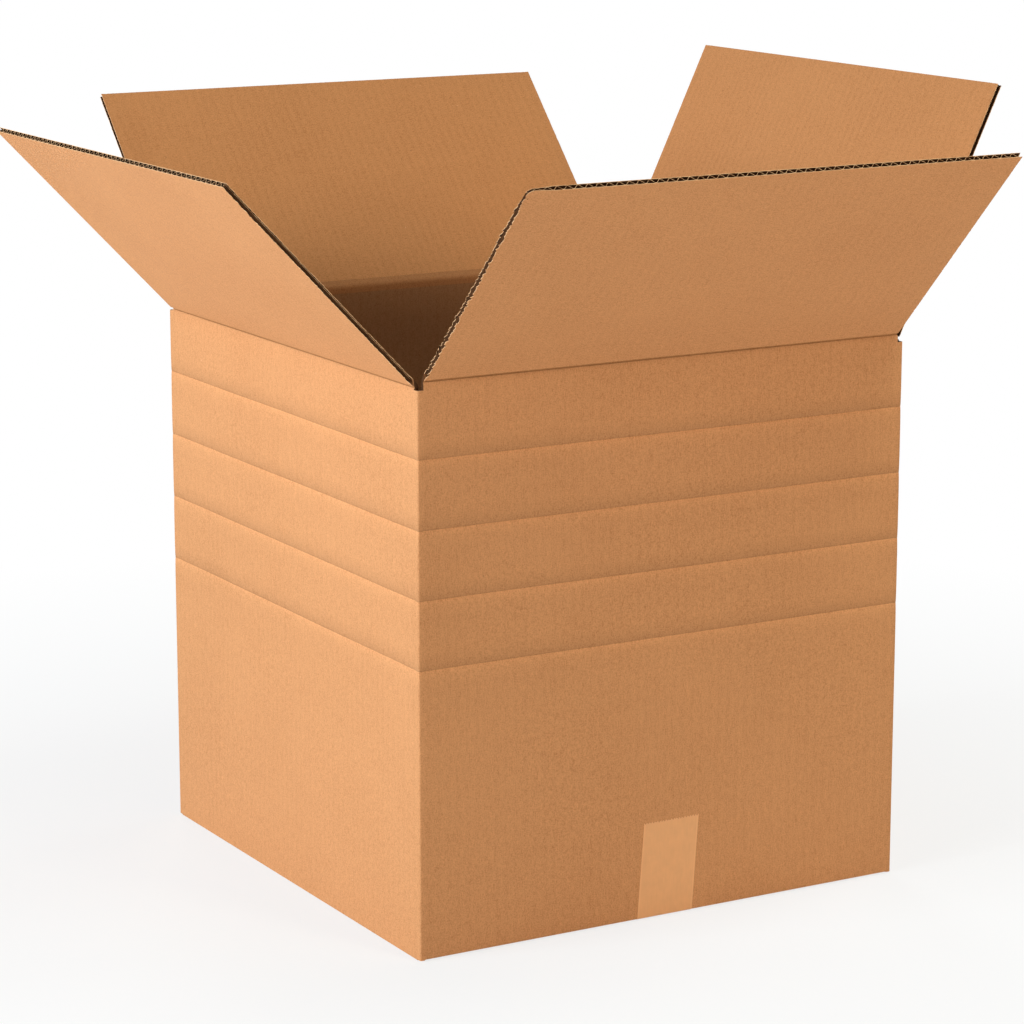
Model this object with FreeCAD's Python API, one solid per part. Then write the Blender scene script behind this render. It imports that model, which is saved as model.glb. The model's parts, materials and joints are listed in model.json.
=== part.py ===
import FreeCAD, Part
import math
import os

# Driving dimensions in millimetres: the space inside the closed box
inside_length = 406.4
inside_width = 406.4
inside_height = 406.4

# Corrugated board: two liners with a wavy medium between them
board = 4.0
liner = 0.4
medium = 0.4
flute_pitch_target = 7.9
crest_half = 0.9
crushed_root = 12.0

# Folds: the clearance is between a wall and its flap, the layer gap between boards that lie on each other
hinge_clearance = 0.15
layer_gap = 0.3
fold_radius = 2.0
corner_radius = 2.0
slot_inset = 5.0
slot_depth = 1.5
flap_side_gap = 1.0
closing_seam = 2.0
bottom_seam = 1.0

# Score lines round the walls, where the box can be cut down and folded lower
score_count = 4
score_spacing = 50.8
score_half_width = 7.0
score_depth = 0.8
score_profile = ((-1.0, 0.0), (-0.35, 0.4), (0.0, 1.0), (0.35, 0.4), (1.0, 0.0))

# Glued joint strip in the back right corner, and the cut edge of the panel over it
strip_width = 32.0
strip_taper = 15.0
strip_end_gap = 2.0
edge_slit_depth = 1.6

# Packing tape over the bottom seam
tape_width = 48.0
tape_thickness = 0.1
tape_gap = 0.05
tape_height = 75.0
tape_front_tilt = 4.3
tape_back_tilt = 0.0
tooth_count = 14
tooth_depth = 1.4

# How far each top flap leans outwards from upright, in degrees
left_tilt = 44.0
right_tilt = 25.8
front_tilt = 44.2
back_tilt = 43.2

# Cutters reach this far past the faces that they open
overshoot = 10.0

# Sizes that follow
half_length = inside_length / 2 + board
half_width = inside_width / 2 + board
inner_flap_z = board + layer_gap
floor_top = inner_flap_z + board
side_fold_z = floor_top + inside_height + board + hinge_clearance
end_fold_z = side_fold_z + board + layer_gap
side_flap_width = 2 * (half_width - slot_inset)
end_flap_width = 2 * (half_length - slot_inset)
side_flap_reach = half_length + hinge_clearance - closing_seam / 2
end_flap_reach = half_width + hinge_clearance - closing_seam / 2
mitre_setback = hinge_clearance * math.sqrt(2)
slot_base_z = side_fold_z - slot_depth

UP = FreeCAD.Vector(0, 0, 1)
ALONG_FOLD = FreeCAD.Vector(1, 0, 0)
ORIGIN = FreeCAD.Vector(0, 0, 0)


def block(x0, x1, y0, y1, z0, z1):
    return Part.makeBox(x1 - x0, y1 - y0, z1 - z0, FreeCAD.Vector(x0, y0, z0))


def mirrored_pair(shape, normal):
    return [shape, shape.mirror(ORIGIN, normal)]


def prism(points, direction):
    """A flat outline, given as vectors, pushed along a direction."""
    return Part.Face(Part.makePolygon(points + points[:1])).extrude(direction)


def at_wall(shape, turn, half, fold_z):
    """Takes a shape drawn at the front wall, with the fold on the X axis, to a wall of the box."""
    placed = shape.copy()
    placed.translate(FreeCAD.Vector(0, -half - hinge_clearance, fold_z))
    placed.rotate(ORIGIN, UP, turn)
    return placed


def round_corner(cx, cy, from_angle, z):
    """A quarter circle, centred at cx, cy, that turns on by 90 degrees from from_angle."""
    points = []
    for step in (0, 45, 90):
        angle = math.radians(from_angle + step)
        points.append(FreeCAD.Vector(cx + corner_radius * math.cos(angle),
                                     cy + corner_radius * math.sin(angle), z))
    return Part.Arc(*points).toShape()


def wall_section(z, inset):
    """Outline of the walls at one height: round at the three creased corners, square at the glued one."""
    x = half_length - inset
    y = half_width - inset
    cx = x - corner_radius
    cy = y - corner_radius
    glued = FreeCAD.Vector(x, y, z)
    edges = [
        Part.LineSegment(glued, FreeCAD.Vector(-cx, y, z)).toShape(),
        round_corner(-cx, cy, 90, z),
        Part.LineSegment(FreeCAD.Vector(-x, cy, z), FreeCAD.Vector(-x, -cy, z)).toShape(),
        round_corner(-cx, -cy, 180, z),
        Part.LineSegment(FreeCAD.Vector(-cx, -y, z), FreeCAD.Vector(cx, -y, z)).toShape(),
        round_corner(cx, -cy, 270, z),
        Part.LineSegment(FreeCAD.Vector(x, -cy, z), glued).toShape(),
    ]
    return Part.Wire(edges)


def wall_levels():
    """Heights and insets of the wall sections: flat between the score lines and dipping in at each one."""
    levels = [(0.0, 0.0)]
    for number in range(score_count, 0, -1):
        score_z = side_fold_z - number * score_spacing
        for across, depth in score_profile:
            levels.append((score_z + across * score_half_width, depth * score_depth))
    levels.append((end_fold_z, 0.0))
    return levels


def bottom_clearances():
    """The spaces that part the four folded bottom flaps from each other and from the walls."""
    x_in = inside_length / 2
    y_in = inside_width / 2
    x_flap = x_in - flap_side_gap
    y_outer_flap = half_width - slot_inset
    x_slot = half_length - slot_inset
    x_far = half_length + overshoot
    y_far = half_width + overshoot
    half_seam = bottom_seam / 2
    cutters = [block(-x_in, x_in, -y_far, y_far, board, inner_flap_z)]
    cutters += mirrored_pair(block(-x_far, x_far, y_outer_flap, y_far, -overshoot, inner_flap_z),
                             FreeCAD.Vector(0, 1, 0))
    cutters.append(block(-half_seam, half_seam, -y_far, y_far, -overshoot, inner_flap_z))
    cutters.append(block(-x_in, x_in, -half_seam, half_seam, board, floor_top + overshoot))
    cutters += mirrored_pair(block(x_flap, x_in, -y_in, y_in, board, floor_top + overshoot),
                             FreeCAD.Vector(1, 0, 0))
    cutters += mirrored_pair(long_edge_rounding(half_length, 0.0, half_width), FreeCAD.Vector(1, 0, 0))
    front_edge = long_edge_rounding(half_width, inner_flap_z, x_slot)
    front_edge.rotate(ORIGIN, UP, 90)
    cutters += mirrored_pair(front_edge, FreeCAD.Vector(0, 1, 0))
    return cutters


def long_edge_rounding(half, foot_z, reach):
    """What is cut off the lower edge at x = half, so that the fold there turns with its radius."""
    corner = block(half - fold_radius, half + overshoot, -reach, reach,
                   foot_z - overshoot, foot_z + fold_radius)
    inside = block(half - fold_radius, half + overshoot, -reach, reach, foot_z - overshoot, foot_z)
    bar = Part.makeCylinder(fold_radius, 2 * reach,
                            FreeCAD.Vector(half - fold_radius, -reach, foot_z + fold_radius),
                            FreeCAD.Vector(0, 1, 0))
    return corner.cut([inside, bar])


def wall_top_mitre(width, above):
    """What is cut off a wall's top, so that the closed flap meets it in a mitre."""
    inner = board + hinge_clearance + flap_side_gap
    outer = -hinge_clearance
    left = -width / 2
    outline = [
        FreeCAD.Vector(left, outer, -outer - mitre_setback),
        FreeCAD.Vector(left, inner, -inner - mitre_setback),
        FreeCAD.Vector(left, inner, above),
        FreeCAD.Vector(left, outer, above),
    ]
    return prism(outline, FreeCAD.Vector(width, 0, 0))


def top_cutters():
    side = wall_top_mitre(side_flap_width, overshoot)
    end = wall_top_mitre(end_flap_width, overshoot)
    corner = block(half_length - slot_inset, half_length + overshoot,
                   half_width - slot_inset, half_width + overshoot,
                   slot_base_z, end_fold_z + overshoot)
    right_corners = mirrored_pair(corner, FreeCAD.Vector(0, 1, 0))
    left_corners = [shape.mirror(ORIGIN, FreeCAD.Vector(1, 0, 0)) for shape in right_corners]
    return right_corners + left_corners + [
        at_wall(end, 0, half_width, end_fold_z),
        at_wall(side, 90, half_length, side_fold_z),
        at_wall(end, 180, half_width, end_fold_z),
        at_wall(side, 270, half_length, side_fold_z),
    ]


def joint_strip():
    """The strip of the right wall that is folded behind the back wall and glued to it."""
    x = inside_length / 2
    y = inside_width / 2
    low = floor_top + strip_end_gap
    high = floor_top + inside_height - strip_end_gap
    outline = [
        FreeCAD.Vector(x, y, low),
        FreeCAD.Vector(x, y, high),
        FreeCAD.Vector(x - strip_width, y, high - strip_taper),
        FreeCAD.Vector(x - strip_width, y, low + strip_taper),
    ]
    return prism(outline, FreeCAD.Vector(0, -board, 0))


def joint_edge_slit():
    """The open flute along the cut edge of the back panel, seen from the right."""
    y = inside_width / 2 + liner
    return block(half_length - edge_slit_depth, half_length + overshoot, y + liner,
                 half_width - liner, -overshoot, end_fold_z + overshoot)


def tape_recess():
    """The tape presses this far into the two outer bottom flaps, so that the box stands flat on both."""
    half_tape = tape_width / 2 + tape_gap
    return block(-half_tape, half_tape, -half_width, half_width, -overshoot, tape_thickness + tape_gap)


def box_body():
    """Four walls, four closed bottom flaps and the glued joint strip: one folded sheet."""
    outside = Part.makeLoft([wall_section(z, inset) for z, inset in wall_levels()], True, True)
    cavity = block(-inside_length / 2, inside_length / 2, -inside_width / 2, inside_width / 2,
                   floor_top, end_fold_z + overshoot)
    shell = outside.cut([cavity] + bottom_clearances() + top_cutters() + [joint_edge_slit(), tape_recess()])
    return shell.fuse(joint_strip()).removeSplitter()


def flute_cell(centre, base_y, crest_y, base_half):
    """The air space under one wave of the medium, as a closed outline across the board."""
    corners = ((-base_half, base_y), (base_half, base_y), (crest_half, crest_y), (-crest_half, crest_y))
    points = [FreeCAD.Vector(centre + x, y, 0) for x, y in corners]
    return Part.makePolygon(points + points[:1])


def fluted_section(width):
    """The board cut across its flutes: liners, medium and a half open cell at each side edge."""
    waves = round(width / flute_pitch_target)
    pitch = width / waves
    lean = (pitch / 2 - 2 * crest_half) / (board - 2 * liner)
    web = medium * (math.sqrt(1 + lean ** 2) - lean)
    base_half = pitch / 2 - crest_half - web
    outer_base = hinge_clearance + liner
    inner_base = hinge_clearance + board - liner
    side = width / 2
    left_half = [(-side, hinge_clearance), (-side, outer_base), (-side + base_half, outer_base),
                 (-side + crest_half, inner_base - medium), (-side, inner_base - medium),
                 (-side, hinge_clearance + board)]
    right_half = [(-x, y) for x, y in reversed(left_half)]
    outline = [FreeCAD.Vector(x, y, 0) for x, y in left_half + right_half]
    wires = [Part.makePolygon(outline + outline[:1])]
    for wave in range(waves):
        centre = -side + wave * pitch
        if wave > 0:
            wires.append(flute_cell(centre, outer_base, inner_base - medium, base_half))
        wires.append(flute_cell(centre + pitch / 2, inner_base, outer_base + medium, base_half))
    return Part.Face(wires, "Part::FaceMakerBullseye")


def top_flap(width, reach, tilt, turn, half, fold_z):
    """One flap: solid where its crease is crushed, fluted from there to its open outer edge."""
    fluted = fluted_section(width).extrude(FreeCAD.Vector(0, 0, reach - crushed_root))
    fluted.translate(FreeCAD.Vector(0, 0, crushed_root))
    left = -width / 2
    inner = hinge_clearance + board
    root_outline = [
        FreeCAD.Vector(left, hinge_clearance, hinge_clearance + mitre_setback),
        FreeCAD.Vector(left, inner, inner + mitre_setback),
        FreeCAD.Vector(left, inner, crushed_root),
        FreeCAD.Vector(left, hinge_clearance, crushed_root),
    ]
    root = prism(root_outline, FreeCAD.Vector(width, 0, 0))
    flap = root.fuse(fluted).removeSplitter()
    flap.rotate(ORIGIN, ALONG_FOLD, tilt)
    return at_wall(flap, turn, half, fold_z)


def wrap_section(thickness):
    """The section of the box's lower part, across the tape, grown by a thickness."""
    under_z = tape_thickness - thickness
    edge_y = half_width - slot_inset + thickness
    wall_y = half_width + tape_gap + thickness
    radius = fold_radius + tape_gap + thickness
    centre_y = half_width - fold_radius
    centre_z = inner_flap_z + fold_radius
    distance = math.hypot(centre_y - edge_y, centre_z - under_z)
    to_centre = math.atan2(centre_z - under_z, centre_y - edge_y)
    heading = to_centre - math.asin(radius / distance)
    run = math.sqrt(distance ** 2 - radius ** 2)
    touch_y = edge_y + run * math.cos(heading)
    touch_z = under_z + run * math.sin(heading)
    middle = (heading - math.pi / 2) / 2
    edges = []
    for side in (-1, 1):
        edge = FreeCAD.Vector(0, side * edge_y, under_z)
        touch = FreeCAD.Vector(0, side * touch_y, touch_z)
        bend = FreeCAD.Vector(0, side * (centre_y + radius * math.cos(middle)),
                              centre_z + radius * math.sin(middle))
        wall = FreeCAD.Vector(0, side * wall_y, centre_z)
        edges += [Part.LineSegment(edge, touch).toShape(), Part.Arc(touch, bend, wall).toShape()]
    edges.append(Part.LineSegment(FreeCAD.Vector(0, -edge_y, under_z),
                                  FreeCAD.Vector(0, edge_y, under_z)).toShape())
    edges.append(Part.LineSegment(FreeCAD.Vector(0, -wall_y, centre_z),
                                  FreeCAD.Vector(0, wall_y, centre_z)).toShape())
    return Part.Face(Part.Wire(Part.__sortEdges__(edges)))


def tape_end(tilt):
    """The end of the tape on the front wall, leaning by tilt and cut by a toothed blade."""
    lean = math.radians(tilt)
    start_z = inner_flap_z + fold_radius
    length = tape_height - start_z
    half_tape = tape_width / 2
    wall_y = -half_width - tape_gap

    def at(across, along):
        return FreeCAD.Vector(across * math.cos(lean) + along * math.sin(lean), wall_y,
                              start_z + along * math.cos(lean) - across * math.sin(lean))

    drop = half_tape * math.tan(lean)
    outline = [at(-half_tape, -drop), at(half_tape, drop)]
    for number in range(2 * tooth_count + 1):
        across = half_tape * (1 - number / tooth_count)
        outline.append(at(across, length - tooth_depth * (number % 2)))
    return prism(outline, FreeCAD.Vector(0, -tape_thickness, 0))


def bottom_tape():
    """One strip: under the bottom seam, bridging to the folds and up the front and back walls."""
    film = wrap_section(tape_thickness).cut(wrap_section(0.0))
    strip = film.extrude(FreeCAD.Vector(tape_width, 0, 0))
    strip.translate(FreeCAD.Vector(-tape_width / 2, 0, 0))
    back_end = tape_end(tape_back_tilt)
    back_end.rotate(ORIGIN, UP, 180)
    return strip.fuse([tape_end(tape_front_tilt), back_end]).removeSplitter()


parts = {
    "box_body": box_body(),
    "top_flap_left": top_flap(side_flap_width, side_flap_reach, left_tilt, 270, half_length, side_fold_z),
    "top_flap_right": top_flap(side_flap_width, side_flap_reach, right_tilt, 90, half_length, side_fold_z),
    "top_flap_front": top_flap(end_flap_width, end_flap_reach, front_tilt, 0, half_width, end_fold_z),
    "top_flap_back": top_flap(end_flap_width, end_flap_reach, back_tilt, 180, half_width, end_fold_z),
    "bottom_tape": bottom_tape(),
}

os.makedirs("parts", exist_ok=True)
for name, shape in parts.items():
    shape.exportStep("parts/" + name + ".step")
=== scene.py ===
import json
import math

import bmesh
import bpy
from mathutils import Matrix, Vector


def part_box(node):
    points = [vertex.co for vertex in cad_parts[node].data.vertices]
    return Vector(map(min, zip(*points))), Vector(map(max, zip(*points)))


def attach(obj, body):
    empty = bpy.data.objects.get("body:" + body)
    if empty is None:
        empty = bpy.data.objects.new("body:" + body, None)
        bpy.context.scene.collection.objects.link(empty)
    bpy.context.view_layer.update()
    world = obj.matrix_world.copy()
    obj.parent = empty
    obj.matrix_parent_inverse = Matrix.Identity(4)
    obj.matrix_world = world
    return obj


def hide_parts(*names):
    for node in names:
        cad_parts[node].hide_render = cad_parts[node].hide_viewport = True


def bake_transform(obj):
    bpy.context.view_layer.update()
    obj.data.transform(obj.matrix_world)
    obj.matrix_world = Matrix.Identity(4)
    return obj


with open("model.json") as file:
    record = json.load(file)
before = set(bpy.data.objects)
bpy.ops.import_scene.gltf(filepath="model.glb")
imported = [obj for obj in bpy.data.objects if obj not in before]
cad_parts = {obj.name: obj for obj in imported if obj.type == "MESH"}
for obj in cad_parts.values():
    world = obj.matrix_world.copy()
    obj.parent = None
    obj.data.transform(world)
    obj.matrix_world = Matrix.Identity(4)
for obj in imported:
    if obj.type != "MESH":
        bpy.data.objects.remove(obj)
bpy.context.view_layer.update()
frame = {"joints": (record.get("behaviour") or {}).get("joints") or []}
bpy.context.scene.view_settings.view_transform = "Standard"

# Camera
# A long lens stands to the left of the front wall and looks down a little, so that the left wall, the
# front wall and the inside of the two far flaps all show.
FRAME_PIXELS = 1024
SENSOR = 36.0
FOCAL_PIXELS = 3496.6
CAMERA_PLACE = Vector((-1.3376, -2.3100, 0.8545))
CAMERA_YAW = math.radians(29.84)
CAMERA_PITCH = math.radians(12.36)

camera_data = bpy.data.cameras.new("camera")
camera_data.sensor_width = SENSOR
camera_data.lens = SENSOR * FOCAL_PIXELS / FRAME_PIXELS
camera_data.clip_end = 60.0
camera = bpy.data.objects.new("camera", camera_data)
camera.location = CAMERA_PLACE
camera.rotation_euler = (math.pi / 2 - CAMERA_PITCH, 0.0, -CAMERA_YAW)
bpy.context.scene.collection.objects.link(camera)
bpy.context.scene.camera = camera

# Studio
# A white table in white surroundings. Two large soft lamps stand on the left, two hang over the table and
# a small weak one stands in front. Two more fill in the back wall and the right wall.
FLOOR_SIZE = 24.0
FLOOR_CLEAR = 0.0003
FLOOR_WHITE = 0.82
FLOOR_GLOW = 0.05
FLOOR_FADE_RATE = 0.25
FLOOR_FADE = [(0.08, 0.72), (0.27, 1.0)]
WORLD_STRENGTH = 0.03
WHITE = (1.0, 1.0, 1.0, 1.0)
LAMPS = (
    ("left", (-3.4, 0.05, 1.40), 1.3, 91.0, (0.88, 1.03, 1.12)),
    ("left_front", (-3.2, -1.0, 1.30), 1.3, 38.0, (1.00, 0.98, 1.02)),
    ("overhead", (1.2, -0.50, 3.6), 1.1, 28.0, (0.95, 1.05, 1.00)),
    ("overhead_front", (0.5, -1.6, 3.4), 0.8, 15.0, (0.92, 1.09, 0.99)),
    ("front", (0.60, -2.4, 1.02), 0.45, 15.3, (1.15, 1.03, 0.82)),
    ("behind", (0.8, 3.2, 0.95), 1.3, 42.0, (1.0, 1.0, 1.0)),
    ("right", (3.3, 0.5, 0.95), 1.3, 32.0, (1.0, 1.0, 1.0)),
)
LAMP_AIM = Vector((0.0, 0.0, 0.28))


class Wire:
    """A socket of a material, so that sums on it read as sums and add their Math nodes."""

    def __init__(self, finish, socket):
        self.finish = finish
        self.socket = socket

    def sum(self, operation, *values):
        return self.finish.node("ShaderNodeMath", {"operation": operation}, dict(enumerate(values)))

    def __add__(self, other):
        return self.sum("ADD", self, other)

    def __radd__(self, other):
        return self.sum("ADD", other, self)

    def __sub__(self, other):
        return self.sum("SUBTRACT", self, other)

    def __rsub__(self, other):
        return self.sum("SUBTRACT", other, self)

    def __mul__(self, other):
        return self.sum("MULTIPLY", self, other)

    def __rmul__(self, other):
        return self.sum("MULTIPLY", other, self)

    def __truediv__(self, other):
        return self.sum("DIVIDE", self, other)

    def above(self, limit):
        return self.sum("GREATER_THAN", self, limit)

    def below(self, limit):
        return self.sum("LESS_THAN", self, limit)

    def round(self):
        return self.sum("ROUND", self)

    def sine(self):
        return self.sum("SINE", self)

    def size(self):
        return self.sum("ABSOLUTE", self)

    def beside(self, output):
        """Another socket of the node that this one is on."""
        return Wire(self.finish, self.socket.node.outputs[output])


class Finish:
    """A material or the world, whose nodes all come from one method."""

    def __init__(self, owner):
        self.owner = owner
        owner.use_nodes = True
        self.tree = owner.node_tree
        self.tree.nodes.clear()

    def node(self, kind, settings=None, inputs=None, output=0):
        """A node from its type, its settings or a ramp's stops, and the values or wires of its sockets."""
        made = self.tree.nodes.new(kind)
        for key, value in (settings or {}).items():
            if key == "stops":
                elements = made.color_ramp.elements
                while len(elements) < len(value):
                    elements.new(1.0)
                for element, (place, shade) in zip(elements, value):
                    element.position = place
                    colour = (shade, shade, shade) if isinstance(shade, float) else shade
                    element.color = (*colour, 1.0)
            else:
                setattr(made, key, value)
        for key, value in (inputs or {}).items():
            if isinstance(value, Wire):
                self.tree.links.new(value.socket, made.inputs[key])
            else:
                made.inputs[key].default_value = value
        return Wire(self, made.outputs[output]) if made.outputs else None

    def ramp(self, factor, stops):
        """A colour or grey that changes with a factor, from stops of place and colour."""
        return self.node("ShaderNodeValToRGB", {"stops": stops}, {0: factor})

    def blend(self, factor, first, second, way="MIX"):
        """Two colours mixed by a factor."""
        return self.node("ShaderNodeMix", {"data_type": "RGBA", "blend_type": way},
                         {0: factor, 6: first, 7: second}, 2)


def background_ray(finish):
    """One for a ray from the camera, off a shiny surface or through a clear one, and else nothing."""
    camera_ray = finish.node("ShaderNodeLightPath", output="Is Camera Ray")
    either = camera_ray + camera_ray.beside("Is Glossy Ray") + camera_ray.beside("Is Transmission Ray")
    return either.above(0.5)


def white_floor():
    """White card that keeps its shadows, and fades into the white behind it with distance."""
    finish = Finish(bpy.data.materials.new("white_table"))
    place = finish.node("ShaderNodeTexCoord", output=3)
    distance = finish.node("ShaderNodeVectorMath", {"operation": "LENGTH"}, {0: place}, 1)
    fade = finish.ramp(distance * FLOOR_FADE_RATE, FLOOR_FADE)
    seen = background_ray(finish)
    card = finish.node("ShaderNodeBsdfDiffuse", {}, {0: (FLOOR_WHITE, FLOOR_WHITE, FLOOR_WHITE, 1.0)})
    light = finish.node("ShaderNodeEmission", {}, {0: WHITE, 1: FLOOR_GLOW})
    table = finish.node("ShaderNodeAddShader", {}, {0: card, 1: light})
    glow = finish.node("ShaderNodeEmission", {}, {0: WHITE, 1: 1.0})
    mixed = finish.node("ShaderNodeMixShader", {}, {0: fade * seen, 1: table, 2: glow})
    finish.node("ShaderNodeOutputMaterial", {}, {0: mixed})
    return finish.owner


bpy.ops.object.select_all(action="DESELECT")
bpy.ops.mesh.primitive_plane_add(size=FLOOR_SIZE, location=(0.0, 0.0, -FLOOR_CLEAR))
floor = bpy.context.object
floor.name = "table"
floor.data.materials.append(white_floor())

world = bpy.data.worlds.new("studio")
bpy.context.scene.world = world
sky = Finish(world)
strength = background_ray(sky) * (1.0 - WORLD_STRENGTH) + WORLD_STRENGTH
glow = sky.node("ShaderNodeBackground", {}, {0: WHITE, 1: strength})
sky.node("ShaderNodeOutputWorld", {}, {0: glow})

for lamp_name, lamp_place, lamp_size, lamp_power, lamp_colour in LAMPS:
    lamp_data = bpy.data.lights.new(lamp_name, "AREA")
    lamp_data.color = lamp_colour
    lamp_data.size = lamp_size
    lamp_data.energy = lamp_power
    lamp = bpy.data.objects.new(lamp_name, lamp_data)
    lamp.visible_camera = False
    lamp.location = lamp_place
    lamp.rotation_euler = (LAMP_AIM - Vector(lamp_place)).to_track_quat("-Z", "Y").to_euler()
    bpy.context.scene.collection.objects.link(lamp)

# Carton walls
# One sheet of kraft corrugated board, folded round into four walls and glued at the back right corner.
# Four score lines go round it, pressed in by a creasing wheel, where the box can be folded lower.
BOARD = 0.004
SLOT = 0.005
SLOT_DEPTH = 0.0015
SIDE_FOLD_Z = frame["joints"][0]["pos_m"][2]
END_FOLD_Z = frame["joints"][2]["pos_m"][2]
SLOT_BASE_Z = SIDE_FOLD_Z - SLOT_DEPTH
wall_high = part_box("box_body")[1]
HALF_X = wall_high.x
HALF_Y = wall_high.y
FOOT_Z = 0.0008
HINGE_GAP = 0.00015
MITRE_GAP = 0.0003
PANEL_COLUMNS = 33
PANEL_ROWS = 26
SCORE_SPACING = 0.0508
SCORE_COUNT = 4
SCORE_DEPTH = 0.00075
SCORE_SPREAD = 0.0050
SCORE_CUT_DEPTH = 0.00032
SCORE_CUT_SPREAD = 0.0007
SCORE_ROWS = (0.0, 0.0005, 0.0012, 0.0024, 0.0042, 0.0066, 0.0096, 0.0135)
SCORE_CORNER_SHARE = 0.18
# Painted shade and highlight at the score lines: a darker band above each line and a lighter one just below
# it, as light from above falls on the groove.
SCORE_SHADE_REACH = 0.014
SCORE_BRIGHT = 1.25
SCORE_SHADE_TONES = [(0.03, 1.0), (0.30, 0.93), (0.47, 0.84), (0.500, 0.76), (0.512, 1.15), (0.56, 1.11),
               (0.70, 1.04), (0.97, 1.0)]
CREASE_DIP = 0.00060
CREASE_ROWS = ((0.0003, 1.0), (0.0011, 0.45), (0.0030, 0.0))
CORNER_ROUND = 0.0013
CUT_CORNER_ROUND = 0.0004
BOTTOM_ROUND = 0.0016
FOOT_ROUND = 0.0007
BOW = 0.0009
BOW_SIZE = 0.16
BOW_CLEAR_TOP = 0.006
BOW_CLEAR_FOOT = 0.008
FADE_LENGTH = 0.045
FLUTE_PITCH = 0.4044 / 51
LINER = 0.00040
SLIT_DEPTH = 0.0016

KRAFT = (0.620, 0.288, 0.122)
KRAFT_DARK = (0.500, 0.208, 0.078)
KRAFT_BRIGHTER = 1.16
# Dark and light flecks: cells to the metre, radius in a cell, the colour channel that is drawn from, the draw
# above which a cell has a fleck, its strength and its colour.
FLECKS = (
    (85.0, 0.045, 0, 0.90, 0.55, (0.20, 0.085, 0.040)),
    (120.0, 0.060, 1, 0.86, 0.40, (0.86, 0.55, 0.30)),
)
FLECK_BEND_CELLS = 420.0
FLECK_BEND = 0.0016
CLOUD_CELLS = 9.0
CLOUD_SHARE = 0.14
MOTTLE_CELLS = 110.0
MOTTLE_SHARE = 0.12
GRAIN_CELLS = 1000.0
GRAIN_SHARE = 0.85
FIBRE_FLAT_CELLS = (260.0, 260.0, 1500.0)
FIBRE_FLAT_SHARE = 0.18
FIBRE_TALL_CELLS = (1500.0, 1500.0, 240.0)
FIBRE_TALL_SHARE = 0.48
WANDER_CELLS = 24.0
PLAIN_TONE = (1.0, 1.0, 1.0)
LINER_SHOWING = 0.025
CUT_EDGE = (0.86, 0.51, 0.27)
INSIDE_TONE = (0.94, 0.88, 0.78)
INSIDE_FLAP_SHOWING = 0.042
# The inside of the walls is painted darker than the same liner on the flaps: painted shade inside the box.
INSIDE_WALL_SHADE_TONE = (0.61, 0.64, 0.67)
INSIDE_WALL_SHOWING = 0.045
# The medium's own brown, darkened near black: painted shade in the hollows between the liners.
FLUTING_IN_SHADE = (0.080, 0.033, 0.013)


def new_box(name, low, high):
    """A box between two corners, with its object at the origin."""
    bpy.ops.object.select_all(action="DESELECT")
    bpy.ops.mesh.primitive_cube_add(size=1.0, location=(Vector(low) + Vector(high)) / 2)
    piece = bpy.context.object
    piece.name = name
    piece.scale = Vector(high) - Vector(low)
    bpy.ops.object.transform_apply(location=True, rotation=True, scale=True)
    return piece


def open_mesh(piece):
    bpy.ops.object.select_all(action="DESELECT")
    piece.select_set(True)
    bpy.context.view_layer.objects.active = piece
    bpy.ops.object.mode_set(mode="EDIT")


def close_mesh():
    bpy.ops.object.mode_set(mode="OBJECT")


def middle(item):
    if isinstance(item, bmesh.types.BMVert):
        return item.co
    return sum((corner.co for corner in item.verts), Vector()) / len(item.verts)


def span(edge):
    return edge.verts[1].co - edge.verts[0].co


def near(first, second):
    return abs(first - second) < 1e-5


def pick(kind, test):
    """In edit mode, selects the verts, edges or faces that pass a test, and nothing else."""
    bpy.ops.mesh.select_mode(type=kind[:-1].upper())
    bpy.ops.mesh.select_all(action="DESELECT")
    mesh = bmesh.from_edit_mesh(bpy.context.edit_object.data)
    for item in getattr(mesh, kind):
        if test(item):
            item.select_set(True)
    mesh.select_flush_mode()
    bmesh.update_edit_mesh(bpy.context.edit_object.data)


def cut_at(axis, place):
    """A new row of edges where a plane across one axis meets the mesh."""
    bpy.ops.mesh.select_all(action="SELECT")
    normal = [0.0, 0.0, 0.0]
    normal[axis] = 1.0
    point = [0.0, 0.0, 0.0]
    point[axis] = place
    bpy.ops.mesh.bisect(plane_co=point, plane_no=normal)


def move(offset):
    bpy.ops.transform.translate(value=offset)


def thicken(piece, thickness, offset=-1.0, even=True):
    """Gives a sheet its thickness, with the second material on its cut edges."""
    solid = piece.modifiers.new("thickness", "SOLIDIFY")
    solid.thickness = thickness
    solid.offset = offset
    solid.use_even_offset = even
    solid.material_offset_rim = 1
    bpy.context.view_layer.objects.active = piece
    bpy.ops.object.modifier_apply(modifier=solid.name)


def weigh(piece, name, weight):
    """A vertex group whose weight at each point is given by a function of its place."""
    group = piece.vertex_groups.new(name=name)
    for vertex in piece.data.vertices:
        share = weight(vertex.co)
        if share > 0.0:
            group.add([vertex.index], share, "REPLACE")
    return group


def ripple(piece, group, size, strength, direction, rest=0.5):
    """Moves a vertex group by cloudy noise and applies it. Rest is the noise that moves nothing."""
    clouds = bpy.data.textures.new("unevenness", "CLOUDS")
    clouds.noise_scale = size
    clouds.noise_depth = 1
    uneven = piece.modifiers.new("unevenness", "DISPLACE")
    uneven.texture = clouds
    uneven.texture_coords = "GLOBAL"
    uneven.direction = direction
    uneven.strength = strength
    uneven.mid_level = rest
    uneven.vertex_group = group
    bpy.context.view_layer.objects.active = piece
    bpy.ops.object.modifier_apply(modifier=uneven.name)


def smooth_fade(distance, length):
    share = min(max(distance / length, 0.0), 1.0)
    return share * share * (3.0 - 2.0 * share)


def noise(finish, place, cells, more=None, output=0):
    """Noise with a number of cells to the metre."""
    return finish.node("ShaderNodeTexNoise", {}, {"Vector": place, "Scale": cells, **(more or {})}, output)


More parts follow.
